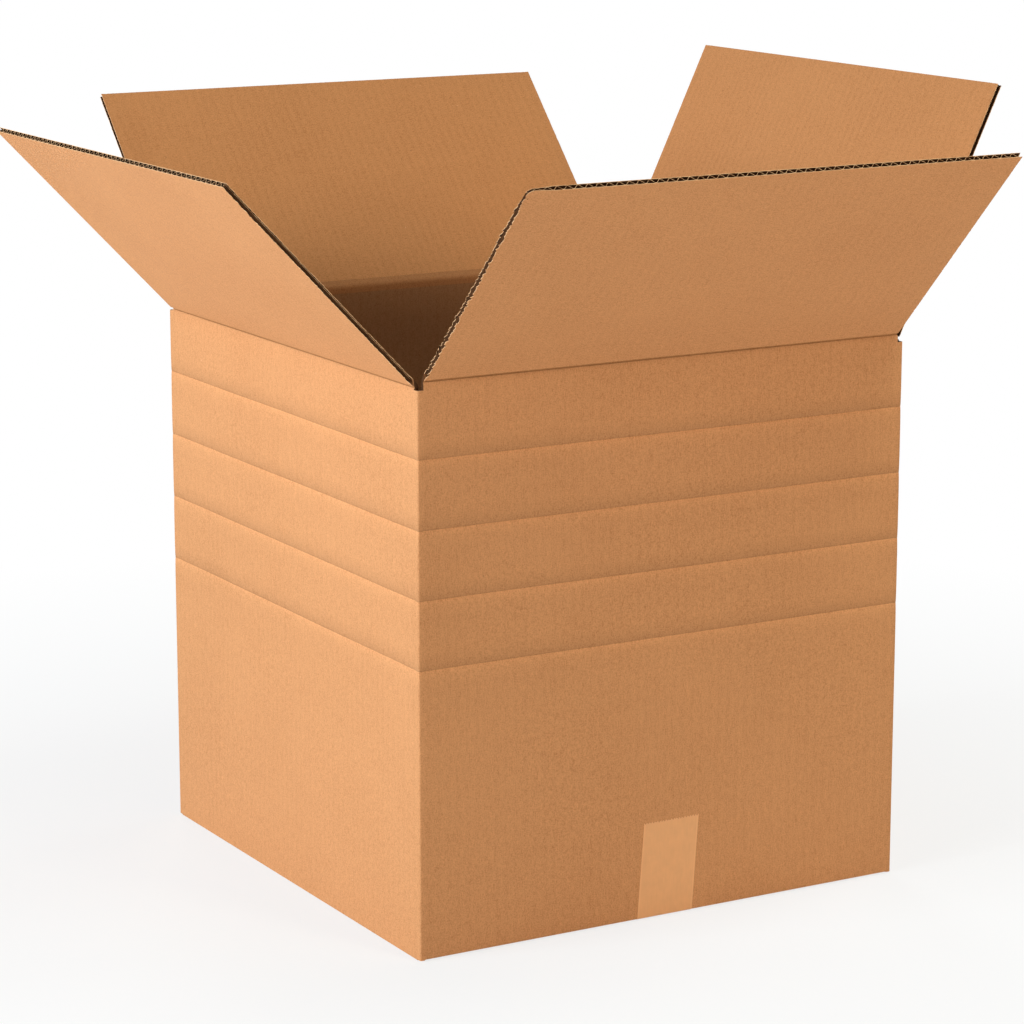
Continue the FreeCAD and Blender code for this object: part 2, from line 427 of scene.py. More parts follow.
def kraft(name, stripes, tone=PLAIN_TONE, showing=LINER_SHOWING, shaded_scores=False):
    """Unbleached kraft liner: cloudy, fibrous and flecked, with the flutes showing faintly through."""
    finish = Finish(bpy.data.materials.new(name))
    place = finish.node("ShaderNodeTexCoord", output=3)
    cloud = noise(finish, place, CLOUD_CELLS, {"Detail": 3.0})
    mottle = noise(finish, place, MOTTLE_CELLS, {"Detail": 4.0, "Roughness": 0.6})
    grain = noise(finish, place, GRAIN_CELLS, {"Detail": 2.0, "Roughness": 0.7})
    across = finish.node("ShaderNodeVectorMath", {"operation": "MULTIPLY"}, {0: place, 1: FIBRE_FLAT_CELLS})
    fibre_flat = noise(finish, across, 1.0, {"Detail": 2.0, "Distortion": 0.6})
    upright = finish.node("ShaderNodeVectorMath", {"operation": "MULTIPLY"}, {0: place, 1: FIBRE_TALL_CELLS})
    fibre_tall = noise(finish, upright, 1.0, {"Detail": 2.0, "Distortion": 0.6})
    phase = finish.node("ShaderNodeVectorMath", {"operation": "DOT_PRODUCT"}, {0: place, 1: stripes}, 1)
    wave = (phase * (2.0 * math.pi / FLUTE_PITCH)).sine()
    wander = noise(finish, place, WANDER_CELLS, {"Detail": 2.0})
    flute = wave * wander

    shade = (cloud - 0.5) * CLOUD_SHARE + (mottle - 0.5) * MOTTLE_SHARE + (grain - 0.5) * GRAIN_SHARE
    fibres = (fibre_flat - 0.5) * FIBRE_FLAT_SHARE + (fibre_tall - 0.5) * FIBRE_TALL_SHARE
    shade = shade + fibres + flute * showing
    deep = tuple(value * share for value, share in zip(KRAFT_DARK, tone))
    plain = tuple(value * share for value, share in zip(KRAFT, tone))
    bright = tuple(value * KRAFT_BRIGHTER for value in plain)
    speckled = finish.ramp(shade + 0.5, [(0.30, deep), (0.50, plain), (0.74, bright)])

    drift = noise(finish, place, FLECK_BEND_CELLS, output=1)
    small_drift = finish.node("ShaderNodeVectorMath", {"operation": "SCALE"}, {0: drift, 3: FLECK_BEND})
    bent = finish.node("ShaderNodeVectorMath", {"operation": "ADD"}, {0: place, 1: small_drift})
    for cells, radius, channel, rarity, strength, colour in FLECKS:
        cell = finish.node("ShaderNodeTexVoronoi", {}, {"Vector": bent, "Scale": cells})
        draw = finish.node("ShaderNodeSeparateColor", {}, {0: cell.beside("Color")}, channel)
        spot = cell.below(radius) * draw.above(rarity)
        speckled = finish.blend(spot * strength, speckled, (*colour, 1.0))

    # Painted shade and highlight at each score line: darker over a band above the line and lighter just below
    # it, as light from above falls on the groove.
    if shaded_scores:
        level = finish.node("ShaderNodeSeparateXYZ", {}, {0: place}, 2)
        count = (SIDE_FOLD_Z - level) / SCORE_SPACING
        nearest = count.round()
        below = (count - nearest) * SCORE_SPACING
        tones = [(spot, grey / SCORE_BRIGHT) for spot, grey in SCORE_SHADE_TONES]
        painted_score_tones = finish.ramp(below * (0.5 / SCORE_SHADE_REACH) + 0.5, tones) * SCORE_BRIGHT
        on_score = nearest.above(0.5) * nearest.below(SCORE_COUNT + 0.5)
        score_painted_kraft = finish.blend(1.0, speckled, painted_score_tones, "MULTIPLY")
        speckled = finish.blend(on_score, speckled, score_painted_kraft)

    height = grain * 0.5 + mottle * 0.35 + fibre_flat * 0.4 + fibre_tall * 0.3
    surface = finish.node("ShaderNodeBump", {}, {"Strength": 0.22, "Distance": 0.00022, "Height": height})
    washboard = finish.node("ShaderNodeBump", {}, {"Strength": 0.35, "Distance": 0.0024 * showing,
                                                   "Height": flute, "Normal": surface})
    rough = 0.80 + (mottle - 0.5) * 0.20
    shader = finish.node("ShaderNodeBsdfPrincipled", {}, {
        "Base Color": speckled, "Roughness": rough, "Normal": washboard,
        "Specular IOR Level": 0.14})
    finish.node("ShaderNodeOutputMaterial", {}, {0: shader})
    return finish.owner


def cut_board(name):
    """The pale torn fibres of a cut edge."""
    finish = Finish(bpy.data.materials.new(name))
    place = finish.node("ShaderNodeTexCoord", output=3)
    fuzz = noise(finish, place, 900.0, {"Detail": 4.0})
    patch = noise(finish, place, 160.0, {"Detail": 2.0})
    shade = fuzz * 0.5 + patch * 0.5
    palest = tuple(value * 1.12 for value in CUT_EDGE)
    pale = finish.ramp(shade, [(0.32, KRAFT_DARK), (0.48, CUT_EDGE), (0.66, palest)])
    surface = finish.node("ShaderNodeBump", {}, {"Strength": 0.5, "Distance": 0.0002, "Height": fuzz})
    shader = finish.node("ShaderNodeBsdfPrincipled", {}, {
        "Base Color": pale, "Roughness": 0.92, "Normal": surface, "Specular IOR Level": 0.1})
    finish.node("ShaderNodeOutputMaterial", {}, {0: shader})
    return finish.owner


def fluting_paper(name):
    """The rougher paper of the wavy medium, its own brown darkened near black as painted shade between the
    liners.
    """
    finish = Finish(bpy.data.materials.new(name))
    place = finish.node("ShaderNodeTexCoord", output=3)
    fuzz = noise(finish, place, 700.0, {"Detail": 4.0})
    darker = tuple(value * 0.75 for value in FLUTING_IN_SHADE)
    lighter = tuple(value * 1.2 for value in FLUTING_IN_SHADE)
    brown = finish.ramp(fuzz, [(0.3, darker), (0.7, lighter)])
    surface = finish.node("ShaderNodeBump", {}, {"Strength": 0.4, "Distance": 0.0002, "Height": fuzz})
    shader = finish.node("ShaderNodeBsdfPrincipled", {}, {
        "Base Color": brown, "Roughness": 0.95, "Normal": surface, "Specular IOR Level": 0.1})
    finish.node("ShaderNodeOutputMaterial", {}, {0: shader})
    return finish.owner


wall_kraft = kraft("kraft_walls", (1.0, 1.0, 0.0), shaded_scores=True)
board_kraft = kraft("kraft_bottom", (0.0, 1.0, 0.0))
# The inside kraft carries painted shade, for the faces inside the box.
shaded_inside_kraft = kraft("kraft_inside", (1.0, 1.0, 0.0), INSIDE_WALL_SHADE_TONE, INSIDE_WALL_SHOWING)
cut_edge = cut_board("cut_edge")
fluting = fluting_paper("fluting")

walls = new_box("carton_walls", (-HALF_X, -HALF_Y, FOOT_Z), (HALF_X, HALF_Y, SLOT_BASE_Z))
walls.data.materials.append(wall_kraft)
walls.data.materials.append(cut_edge)
open_mesh(walls)
pick("faces", lambda face: abs(face.normal.z) > 0.5)
bpy.ops.mesh.delete(type="ONLY_FACE")
pick("edges", lambda edge: near(span(edge).z, 0.0))
bpy.ops.mesh.subdivide(number_cuts=PANEL_COLUMNS)
for side in (-1, 1):
    cut_at(0, side * (HALF_X - SLOT))
    cut_at(1, side * (HALF_Y - SLOT))
score_levels = [SIDE_FOLD_Z - number * SCORE_SPACING for number in range(1, SCORE_COUNT + 1)]
for row in range(1, PANEL_ROWS):
    level = FOOT_Z + (SLOT_BASE_Z - FOOT_Z) * row / PANEL_ROWS
    if min(abs(level - score_z) for score_z in score_levels) > SCORE_ROWS[-1] + 0.001:
        cut_at(2, level)
for score_z in score_levels:
    for reach in SCORE_ROWS:
        for level in {score_z - reach, score_z + reach}:
            cut_at(2, level)


def between_slots(edge, axis, z):
    half, other = (HALF_X, HALF_Y) if axis == 0 else (HALF_Y, HALF_X)
    spot = middle(edge)
    return near(spot.z, z) and near(abs(spot[axis]), half) and abs(spot[1 - axis]) < other - SLOT


pick("edges", lambda edge: between_slots(edge, 0, FOOT_Z))
bpy.ops.mesh.extrude_edges_move(TRANSFORM_OT_translate={"value": (0.0, 0.0, -FOOT_Z)})
for axis, fold_z in ((0, SIDE_FOLD_Z), (1, END_FOLD_Z)):
    pick("edges", lambda edge: between_slots(edge, axis, SLOT_BASE_Z))
    top_z = SLOT_BASE_Z
    for reach, share in reversed(CREASE_ROWS):
        next_z = fold_z - reach
        if next_z < SLOT_BASE_Z + 0.0002:
            continue
        bpy.ops.mesh.extrude_edges_move(TRANSFORM_OT_translate={"value": (0.0, 0.0, next_z - top_z)})
        top_z = next_z
close_mesh()
thicken(walls, BOARD)


def outer_face(spot):
    return abs(spot.x) > HALF_X - 1e-5 or abs(spot.y) > HALF_Y - 1e-5


def outer_corner(spot):
    return abs(spot.x) > HALF_X - BOARD and abs(spot.y) > HALF_Y - BOARD


open_mesh(walls)
for score_z in score_levels:
    for reach in SCORE_ROWS[:-1]:
        for level in {score_z - reach, score_z + reach}:
            full = SCORE_DEPTH * math.exp(-reach / SCORE_SPREAD)
            full += SCORE_CUT_DEPTH * math.exp(-reach / SCORE_CUT_SPREAD)
            for at_corner, depth in ((False, full), (True, full * SCORE_CORNER_SHARE)):
                pick("verts", lambda vert: abs(vert.co.z - level) < 2e-6 and outer_face(vert.co)
                     and outer_corner(vert.co) == at_corner)
                bpy.ops.transform.resize(value=(1.0 - depth / HALF_X, 1.0 - depth / HALF_Y, 1.0),
                                         center_override=(0.0, 0.0, level))
for axis, fold_z in ((0, SIDE_FOLD_Z), (1, END_FOLD_Z)):
    half, other = (HALF_X, HALF_Y) if axis == 0 else (HALF_Y, HALF_X)
    rim_z = fold_z - BOARD - MITRE_GAP

    def inner_rim(vert):
        spot = vert.co
        on_inner_face = near(abs(spot[axis]), half - BOARD)
        return spot.z > rim_z and on_inner_face and abs(spot[1 - axis]) < other - SLOT + 1e-5

    pick("verts", inner_rim)
    bpy.ops.transform.resize(value=(1.0, 1.0, 0.0), center_override=(0.0, 0.0, rim_z))
    bpy.ops.mesh.remove_doubles(threshold=1e-5)
    for reach, share in CREASE_ROWS[:-1]:
        pick("verts", lambda vert: near(vert.co.z, fold_z - reach) and near(abs(vert.co[axis]), half))
        shrink = [1.0, 1.0, 1.0]
        shrink[axis] = 1.0 - CREASE_DIP * share / half
        bpy.ops.transform.resize(value=shrink, center_override=(0.0, 0.0, fold_z))


def upright_corner(edge, glued):
    spot = middle(edge)
    if abs(span(edge).z) < 0.5 * span(edge).length:
        return False
    if abs(spot.x) < HALF_X - SCORE_DEPTH - 1e-4 or abs(spot.y) < HALF_Y - SCORE_DEPTH - 1e-4:
        return False
    return (spot.x > 0 and spot.y > 0) == glued


for glued, radius in ((False, CORNER_ROUND), (True, CUT_CORNER_ROUND)):
    pick("edges", lambda edge: upright_corner(edge, glued))
    bpy.ops.mesh.bevel(offset=radius, segments=4, affect="EDGES")
pick("edges", lambda edge: near(middle(edge).z, 0.0) and near(abs(middle(edge).x), HALF_X))
bpy.ops.mesh.bevel(offset=FOOT_ROUND, segments=3, affect="EDGES")
pick("edges", lambda edge: near(middle(edge).z, FOOT_Z) and near(abs(middle(edge).y), HALF_Y)
     and abs(middle(edge).x) < HALF_X - SLOT)
bpy.ops.mesh.bevel(offset=BOTTOM_ROUND, segments=4, affect="EDGES")
for place in (HALF_Y - LINER, HALF_Y - BOARD + LINER):
    cut_at(1, place)


def glued_cut_edge(face):
    spot = middle(face)
    between_liners = HALF_Y - BOARD + LINER < spot.y < HALF_Y - LINER
    return spot.x > HALF_X - SCORE_DEPTH - 2e-4 and between_liners and face.normal.x > 0.5


pick("faces", glued_cut_edge)
bpy.ops.mesh.extrude_region_move(TRANSFORM_OT_translate={"value": (-SLIT_DEPTH, 0.0, 0.0)})
close_mesh()


def panel_bow(spot):
    on_side = abs(spot.x) > abs(spot.y)
    along = HALF_Y - abs(spot.y) if on_side else HALF_X - abs(spot.x)
    return smooth_fade(min(along, SIDE_FOLD_Z - BOW_CLEAR_TOP - spot.z, spot.z - BOW_CLEAR_FOOT), FADE_LENGTH)


weigh(walls, "left_right", lambda spot: panel_bow(spot) if abs(spot.x) > abs(spot.y) else 0.0)
weigh(walls, "front_back", lambda spot: panel_bow(spot) if abs(spot.x) < abs(spot.y) else 0.0)
ripple(walls, "left_right", BOW_SIZE, 2 * BOW, "X")
ripple(walls, "front_back", BOW_SIZE, 2 * BOW, "Y")
bpy.ops.object.shade_smooth_by_angle(angle=math.radians(35.0))
walls.data.materials.append(shaded_inside_kraft)
walls.data.materials.append(fluting)
# Cut rims in the upper half of the walls take the fluting, painted dark as the shade in the cut board. Inside
# faces take the inside kraft, painted shade inside the box.
for face in walls.data.polygons:
    spot = face.center
    if face.material_index == 1 and spot.z > SIDE_FOLD_Z / 2:
        face.material_index = 3
    if face.material_index == 0 and max(abs(spot.x) - HALF_X, abs(spot.y) - HALF_Y) < -BOARD / 2:
        face.material_index = 2
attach(walls, "carton")
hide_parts("box_body")

# Bottom flaps
# Two layers of the same board close the bottom: the flaps of the front and back walls inside, and those
# of the left and right walls under them, which meet at the seam that the tape covers.
UNDERSIDE_Z = 0.00015
INNER_FLAP_Z = 0.0043
BOTTOM_SEAM = 0.0005
INNER_X = HALF_X - BOARD
INNER_Y = HALF_Y - BOARD
LAYER_SIDE = 0.2022
OPEN_EDGE_DEPTH = 0.004
LAYER_ROUND = 0.00015
SUNK = 0.0005


def bottom_layer(name, low, high, open_axis):
    """A flap of the bottom, with the slit between its liners open along two edges."""
    board = new_box(name, low, high)
    board.data.materials.append(board_kraft)
    board.data.materials.append(cut_edge)
    open_mesh(board)
    pick("faces", lambda face: abs(face.normal[open_axis]) > 0.5)
    bpy.ops.mesh.inset(thickness=LINER, use_individual=True)
    bpy.ops.mesh.extrude_faces_move(TRANSFORM_OT_shrink_fatten={"value": -OPEN_EDGE_DEPTH})
    close_mesh()
    soften = board.modifiers.new("worn_edges", "BEVEL")
    soften.width = LAYER_ROUND
    soften.segments = 2
    bpy.context.view_layer.objects.active = board
    bpy.ops.object.modifier_apply(modifier=soften.name)
    for face in board.data.polygons:
        if abs(face.normal[open_axis]) > 0.5:
            face.material_index = 1
    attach(board, "carton")
    return board


for side, word in ((-1, "left"), (1, "right")):
    edges = sorted((side * (INNER_X + SUNK), side * BOTTOM_SEAM))
    bottom_layer("bottom_flap_" + word, (edges[0], -LAYER_SIDE, UNDERSIDE_Z),
                 (edges[1], LAYER_SIDE, BOARD), 1)
for side, word in ((-1, "front"), (1, "back")):
    edges = sorted((side * (INNER_Y + SUNK), side * BOTTOM_SEAM))
    bottom_layer("bottom_flap_" + word, (-LAYER_SIDE, edges[0], INNER_FLAP_Z),
                 (LAYER_SIDE, edges[1], INNER_FLAP_Z + BOARD), 0)

# Joint strip
# A tab on the end of the right wall, glued to the inside of the back wall. Its ends are cut off slantwise.
STRIP_WIDTH = 0.032
STRIP_TAPER = 0.015
STRIP_LOW_Z = 0.0103
STRIP_HIGH_Z = 0.4127
STRIP_SUNK = 0.0002
STRIP_ROUND = 0.0009

strip = new_box("joint_strip", (INNER_X - STRIP_WIDTH, INNER_Y - BOARD, STRIP_LOW_Z),
                (INNER_X + SUNK, INNER_Y + STRIP_SUNK, STRIP_HIGH_Z))
# The strip inside the box takes the same painted shade as the inside of the walls.
strip.data.materials.append(shaded_inside_kraft)
strip.data.materials.append(cut_edge)
open_mesh(strip)
for level, shift in ((STRIP_LOW_Z, STRIP_TAPER), (STRIP_HIGH_Z, -STRIP_TAPER)):
    pick("verts", lambda vert: near(vert.co.z, level) and vert.co.x < INNER_X - 0.5 * STRIP_WIDTH)
    move((0.0, 0.0, shift))
pick("edges", lambda edge: near(middle(edge).y, INNER_Y - BOARD))
bpy.ops.mesh.bevel(offset=STRIP_ROUND, segments=4, affect="EDGES")
close_mesh()
bpy.ops.object.shade_smooth_by_angle(angle=math.radians(35.0))
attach(strip, "carton")

# Top flaps
# Four flaps of the same sheet. Their cut edges show how the board is made: two kraft liners glued to the
# crests of a wavy medium between them, open along the outer edge and torn a little along the sides.
FLAP_HALF = 0.2022
FLAP_REACH = 0.20635
WAVES = 52
MEDIUM = 0.00030
MEDIUM_START = 0.006
LINER_COLUMNS = 100
LINER_ROWS = 50
EDGE_TRIM = 0.00040
ROOT_GROOVE = 0.0009
ROOT_DIP = 0.00020
MEDIUM_TRIM = 0.0005
EDGE_BAND = 0.012
TEAR = 0.00022
OUTER_TEAR_SHARE = 0.35
RAGGED = 0.0017
RAGGED_PULL_SHARE = 0.6
RAGGED_BAND = 0.002
RAGGED_ENDS = 0.004
MEDIUM_BACK = 0.0016
MEDIUM_TORN_BACK = 0.0011
TORN_SIDES = {"left": -1, "front": 1}
FLAP_BOW = 0.0018
FLAP_BOW_SIZE = 0.19
FLAP_BOW_START = 0.01
FLAP_BOW_FADE = 0.05
FLAP_BOW_SIDE_FADE = 0.03
KNOCK_SQUEEZE = 0.90
KNOCK_RADII = (0.020, 0.018, 0.016, 0.014, 0.012, 0.010)
# Each flap's tilt from upright, and its turn from the back wall's side, in degrees.
FLAPS = {
    "left": (44.0, 90.0),
    "right": (25.8, -90.0),
    "front": (44.2, 180.0),
    "back": (43.2, 0.0),
}
BUMPED_CORNER = 0.0085


def upright_sheet(name, width, low_z, high_z, y, columns, rows, outward):
    """A sheet that stands on the fold line, facing out of the box or into it."""
    bpy.ops.object.select_all(action="DESELECT")
    bpy.ops.mesh.primitive_grid_add(x_subdivisions=columns, y_subdivisions=rows, size=1.0)
    sheet = bpy.context.object
    sheet.name = name
    sheet.scale = (width, high_z - low_z, 1.0)
    sheet.rotation_euler = (-math.pi / 2 if outward else math.pi / 2, 0.0, 0.0)
    sheet.location = (0.0, y, (low_z + high_z) / 2)
    bpy.ops.object.transform_apply(location=True, rotation=True, scale=True)
    return sheet


def bump_corner(side):
    """Rounds off one outer corner of an upright flap, as after a knock."""
    corner = Vector((side * FLAP_HALF, 0.0, FLAP_REACH))
    for slant in (22.5, 45.0, 67.5):
        turn = math.radians(slant)
        outward = Vector((side * math.sin(turn), 0.0, math.cos(turn)))
        reach = BUMPED_CORNER * (math.sin(turn) + math.cos(turn) - 1.0)
        bpy.ops.mesh.select_all(action="SELECT")
        bpy.ops.mesh.bisect(plane_co=corner - outward * reach, plane_no=outward, clear_outer=True)


def flap_liner(name, finish, outward, bumped, torn, seed):
    y = -HINGE_GAP if outward else -HINGE_GAP - BOARD
    start_z = HINGE_GAP + MITRE_GAP if outward else HINGE_GAP + BOARD + MITRE_GAP
    start_z += ROOT_GROOVE if outward else 0.0
    end_z = FLAP_REACH - EDGE_TRIM
    width = 2 * (FLAP_HALF - EDGE_TRIM)
    liner = upright_sheet(name, width, start_z, end_z, y, LINER_COLUMNS, LINER_ROWS, outward)
    liner.data.materials.append(finish)
    liner.data.materials.append(cut_edge)
    open_mesh(liner)
    if bumped:
        bump_corner(bumped)
    pick("edges", lambda edge: edge.is_boundary and middle(edge).z > start_z + 1e-4)
    bpy.ops.mesh.subdivide(number_cuts=3)
    tears = [
        (lambda spot: abs(spot.x) > FLAP_HALF - EDGE_BAND and spot.z > start_z + 1e-4, TEAR, 0.0),
        (lambda spot: spot.z > FLAP_REACH - EDGE_BAND, TEAR * OUTER_TEAR_SHARE, 0.0),
    ]
    if torn:
        tears.insert(0, (lambda spot: spot.x * torn > FLAP_HALF - RAGGED_BAND
                         and start_z + RAGGED_ENDS < spot.z < FLAP_REACH - RAGGED_ENDS,
                         RAGGED, -torn * RAGGED * RAGGED_PULL_SHARE))
    for count, (test, unevenness, pull_in) in enumerate(tears):
        pick("verts", lambda vert: vert.is_boundary and test(vert.co))
        bpy.ops.transform.vertex_random(offset=unevenness, uniform=0.0, normal=0.0, seed=seed + count)
        bpy.ops.transform.resize(value=(1.0, 0.0, 1.0), center_override=(0.0, y, 0.0))
        move((pull_in, 0.0, 0.0))
    if outward:
        pick("verts", lambda vert: near(vert.co.z, start_z))
        move((0.0, -ROOT_DIP, 0.0))
    close_mesh()
    thicken(liner, LINER)
    liner.data.materials.append(fluting)
    # The backs of the liners, which face the medium, take the fluting, painted dark as shade between the
    # liners.
    for face in liner.data.polygons:
        if face.material_index == 0 and face.normal.y * (1 if outward else -1) < -0.5:
            face.material_index = 2
    return liner


def flap_medium(name, bumped, torn, seed):
    width = WAVES * FLUTE_PITCH
    middle_y = -HINGE_GAP - BOARD / 2
    end_z = FLAP_REACH - MEDIUM_TRIM
    medium = upright_sheet(name, width, MEDIUM_START, end_z, middle_y, 2 * WAVES, 1, True)
    medium.data.materials.append(fluting)
    medium.data.materials.append(cut_edge)
    # The smoothing below brings a zigzag down to a third of its height.
    crest = 3.0 * (BOARD - 2 * LINER - MEDIUM) / 2
    open_mesh(medium)
    for parity, shift in ((0, crest), (1, -crest)):
        pick("verts", lambda vert: round((vert.co.x + width / 2) / (FLUTE_PITCH / 2)) % 2 == parity)
        move((0.0, shift, 0.0))
    close_mesh()
    curve = medium.modifiers.new("rounded_waves", "SUBSURF")
    curve.levels = 3
    curve.render_levels = 3
    bpy.context.view_layer.objects.active = medium
    bpy.ops.object.modifier_apply(modifier=curve.name)
    open_mesh(medium)
    for side in (-1, 1):
        bpy.ops.mesh.select_all(action="SELECT")
        back = MEDIUM_TORN_BACK if side == torn else MEDIUM_BACK
        bpy.ops.mesh.bisect(plane_co=(side * (FLAP_HALF - back), 0.0, 0.0), plane_no=(side, 0.0, 0.0),
                            clear_outer=True)
    if bumped:
        bump_corner(bumped)
    pick("verts", lambda vert: vert.is_boundary and vert.co.z > MEDIUM_START + 0.001)
    bpy.ops.transform.vertex_random(offset=TEAR, uniform=0.0, normal=0.0, seed=seed)
    close_mesh()
    thicken(medium, MEDIUM, 0.0)
    return medium


flap_outside = {"x": kraft("kraft_flaps_across", (1.0, 0.0, 0.0)),
                "y": kraft("kraft_flaps_along", (0.0, 1.0, 0.0))}
flap_inside = {"x": kraft("kraft_inside_across", (1.0, 0.0, 0.0), INSIDE_TONE, INSIDE_FLAP_SHOWING),
               "y": kraft("kraft_inside_along", (0.0, 1.0, 0.0), INSIDE_TONE, INSIDE_FLAP_SHOWING)}
placing = {}
for number, (word, (tilt, turn)) in enumerate(FLAPS.items()):
    joint = frame["joints"][number]
    placing[word] = (Matrix.Translation(joint["pos_m"]) @ Matrix.Rotation(math.radians(turn), 4, "Z")
                     @ Matrix.Rotation(-math.radians(tilt), 4, "X"))
    grain = "x" if word in ("front", "back") else "y"
    bumped = 1 if word == "front" else 0
    torn = TORN_SIDES.get(word, 0)
    seed = 10 * number + 3
    parts = [
        flap_liner("flap_" + word, flap_outside[grain], True, bumped, torn, seed),
        flap_liner("flap_inner_liner", flap_inside[grain], False, bumped, torn, seed + 4),
        flap_medium("flap_medium", bumped, torn, seed + 7),
    ]
    bpy.ops.object.select_all(action="DESELECT")
    for part in parts:
        part.select_set(True)
    bpy.context.view_layer.objects.active = parts[0]
    bpy.ops.object.join()
    flap = bpy.context.object
    if bumped:
        open_mesh(flap)
        for radius in KNOCK_RADII:
            pick("verts", lambda vert: math.hypot(vert.co.x - FLAP_HALF, vert.co.z - FLAP_REACH) < radius)
            bpy.ops.transform.resize(value=(1.0, KNOCK_SQUEEZE, 1.0),
                                     center_override=(0.0, -HINGE_GAP - BOARD / 2, 0.0))
        close_mesh()
    weigh(flap, "field", lambda spot: smooth_fade(spot.z - FLAP_BOW_START, FLAP_BOW_FADE)
          * smooth_fade(FLAP_REACH - spot.z, FLAP_BOW_FADE)
          * smooth_fade(FLAP_HALF - abs(spot.x), FLAP_BOW_SIDE_FADE))
    bows_outward = word in ("front", "back")
    ripple(flap, "field", FLAP_BOW_SIZE, FLAP_BOW, "Y", 0.0 if bows_outward else 1.0)
    bpy.ops.object.shade_smooth_by_angle(angle=math.radians(40.0))
    flap.matrix_world = placing[word]
    bpy.ops.object.transform_apply(location=True, rotation=True, scale=True)
    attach(flap, word + "_flap")
    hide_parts("top_flap_" + word)

# Creases
# Where the walls go over into the flaps the board is crushed flat along a line, so that it bends like a
# hinge. The liner inside is stretched over the bend, and outside there is a thin dark groove. All of the
# crease's kraft is painted darker, as painted shade in the fold.
CREASE_STEPS = 8
GROOVE = 0.00095
PRESSED = 0.0004
PRESSED_SPREAD = math.radians(22.0)
FOLD_RADIUS = 0.0005
# The crease's kraft is painted darker: painted shade in the fold.
CREASE_SHADE_TONE = (0.74, 0.69, 0.62)
shaded_crease_kraft = kraft("kraft_crease", (1.0, 1.0, 0.0), CREASE_SHADE_TONE)
rim = Vector((0.0, -HINGE_GAP - BOARD, -BOARD - MITRE_GAP))
root = Vector((0.0, -HINGE_GAP - BOARD, HINGE_GAP + BOARD + MITRE_GAP))
rim_angle = math.atan2(rim.z, rim.y) + 2 * math.pi
root_angle = math.atan2(root.z, root.y)
thickness = HINGE_GAP + BOARD


def on_ray(spot, ray):
    """Whether a point, seen along the fold, lies in one direction from it."""
    return spot.length > 0.001 and Vector((0.0, spot.y, spot.z)).normalized().dot(ray) > 0.9999


for word, (tilt, turn) in FLAPS.items():
    opening = rim_angle - root_angle + math.radians(tilt)
    bpy.ops.object.select_all(action="DESELECT")
    bpy.ops.mesh.primitive_plane_add(size=1.0)
    crease = bpy.context.object
    crease.name = "crease_" + word
    crease.data.materials.append(shaded_crease_kraft)
    crease.data.materials.append(fluting)
    crease.scale = (2 * (FLAP_HALF - EDGE_TRIM), rim.length, 1.0)
    crease.location = (0.0, rim.y / 2, rim.z / 2)
    crease.rotation_euler = (rim_angle - math.pi, 0.0, 0.0)
    bpy.ops.object.transform_apply(location=True, rotation=True, scale=True)
    open_mesh(crease)
    bpy.ops.mesh.select_all(action="SELECT")
    bpy.ops.mesh.spin(steps=CREASE_STEPS, angle=opening, center=(0.0, 0.0, 0.0), axis=(1.0, 0.0, 0.0))
    bpy.ops.mesh.select_all(action="SELECT")
    bpy.ops.mesh.remove_doubles(threshold=0.00005)
    bpy.ops.mesh.normals_make_consistent(inside=False)
    for step in range(1, CREASE_STEPS):
        share = opening * step / CREASE_STEPS
        heading = rim_angle - share
        off_middle = abs(share - opening / 2)
        lean = rim_angle - math.pi - (opening / 2 - off_middle)
        wanted = thickness / math.cos(lean) - PRESSED * max(0.0, 1.0 - off_middle / PRESSED_SPREAD)
        ray = Vector((0.0, math.cos(heading), math.sin(heading)))
        pick("verts", lambda vert: on_ray(vert.co, ray))
        factor = wanted / rim.length
        bpy.ops.transform.resize(value=(1.0, factor, factor), center_override=(0.0, 0.0, 0.0))
    bisector = rim_angle - opening / 2
    pick("verts", lambda vert: math.hypot(vert.co.y, vert.co.z) < FOLD_RADIUS)
    move((0.0, GROOVE * math.cos(bisector), GROOVE * math.sin(bisector)))
    close_mesh()
    # The crease's cut ends take the fluting, painted dark as shade in the cut board.
    for face in crease.data.polygons:
        if abs(face.normal.x) > 0.9:
            face.material_index = 1
    bpy.ops.object.shade_smooth_by_angle(angle=math.radians(50.0))
    upright = placing[word] @ Matrix.Rotation(math.radians(tilt), 4, "X")
    crease.matrix_world = upright
    bpy.ops.object.transform_apply(location=True, rotation=True, scale=True)
    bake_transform(crease)

# Packing tape
# One strip of tan polypropylene tape along the bottom seam and up the front and back walls. Its ends were
# torn on the teeth of a dispenser, and the front one leans a little to the right.
TAPE_HALF = 0.024
TAPE_FILM = 0.0001
TAPE_HEIGHT = 0.075
TAPE_LEAN = math.radians(4.3)
TAPE_CLEAR = 0.00016
TEETH = 15
TOOTH_DEPTH = 0.0014
TOOTH_UNEVEN = 0.0005
TAPE_HIGHLIGHT_EDGE = 0.0014
TAPE_COLUMNS = 8
TAPE_ROWS = 12
TAPE_TAN = (0.820, 0.400, 0.168)
TAPE_STREAKS = (900.0, 120.0, 90.0)


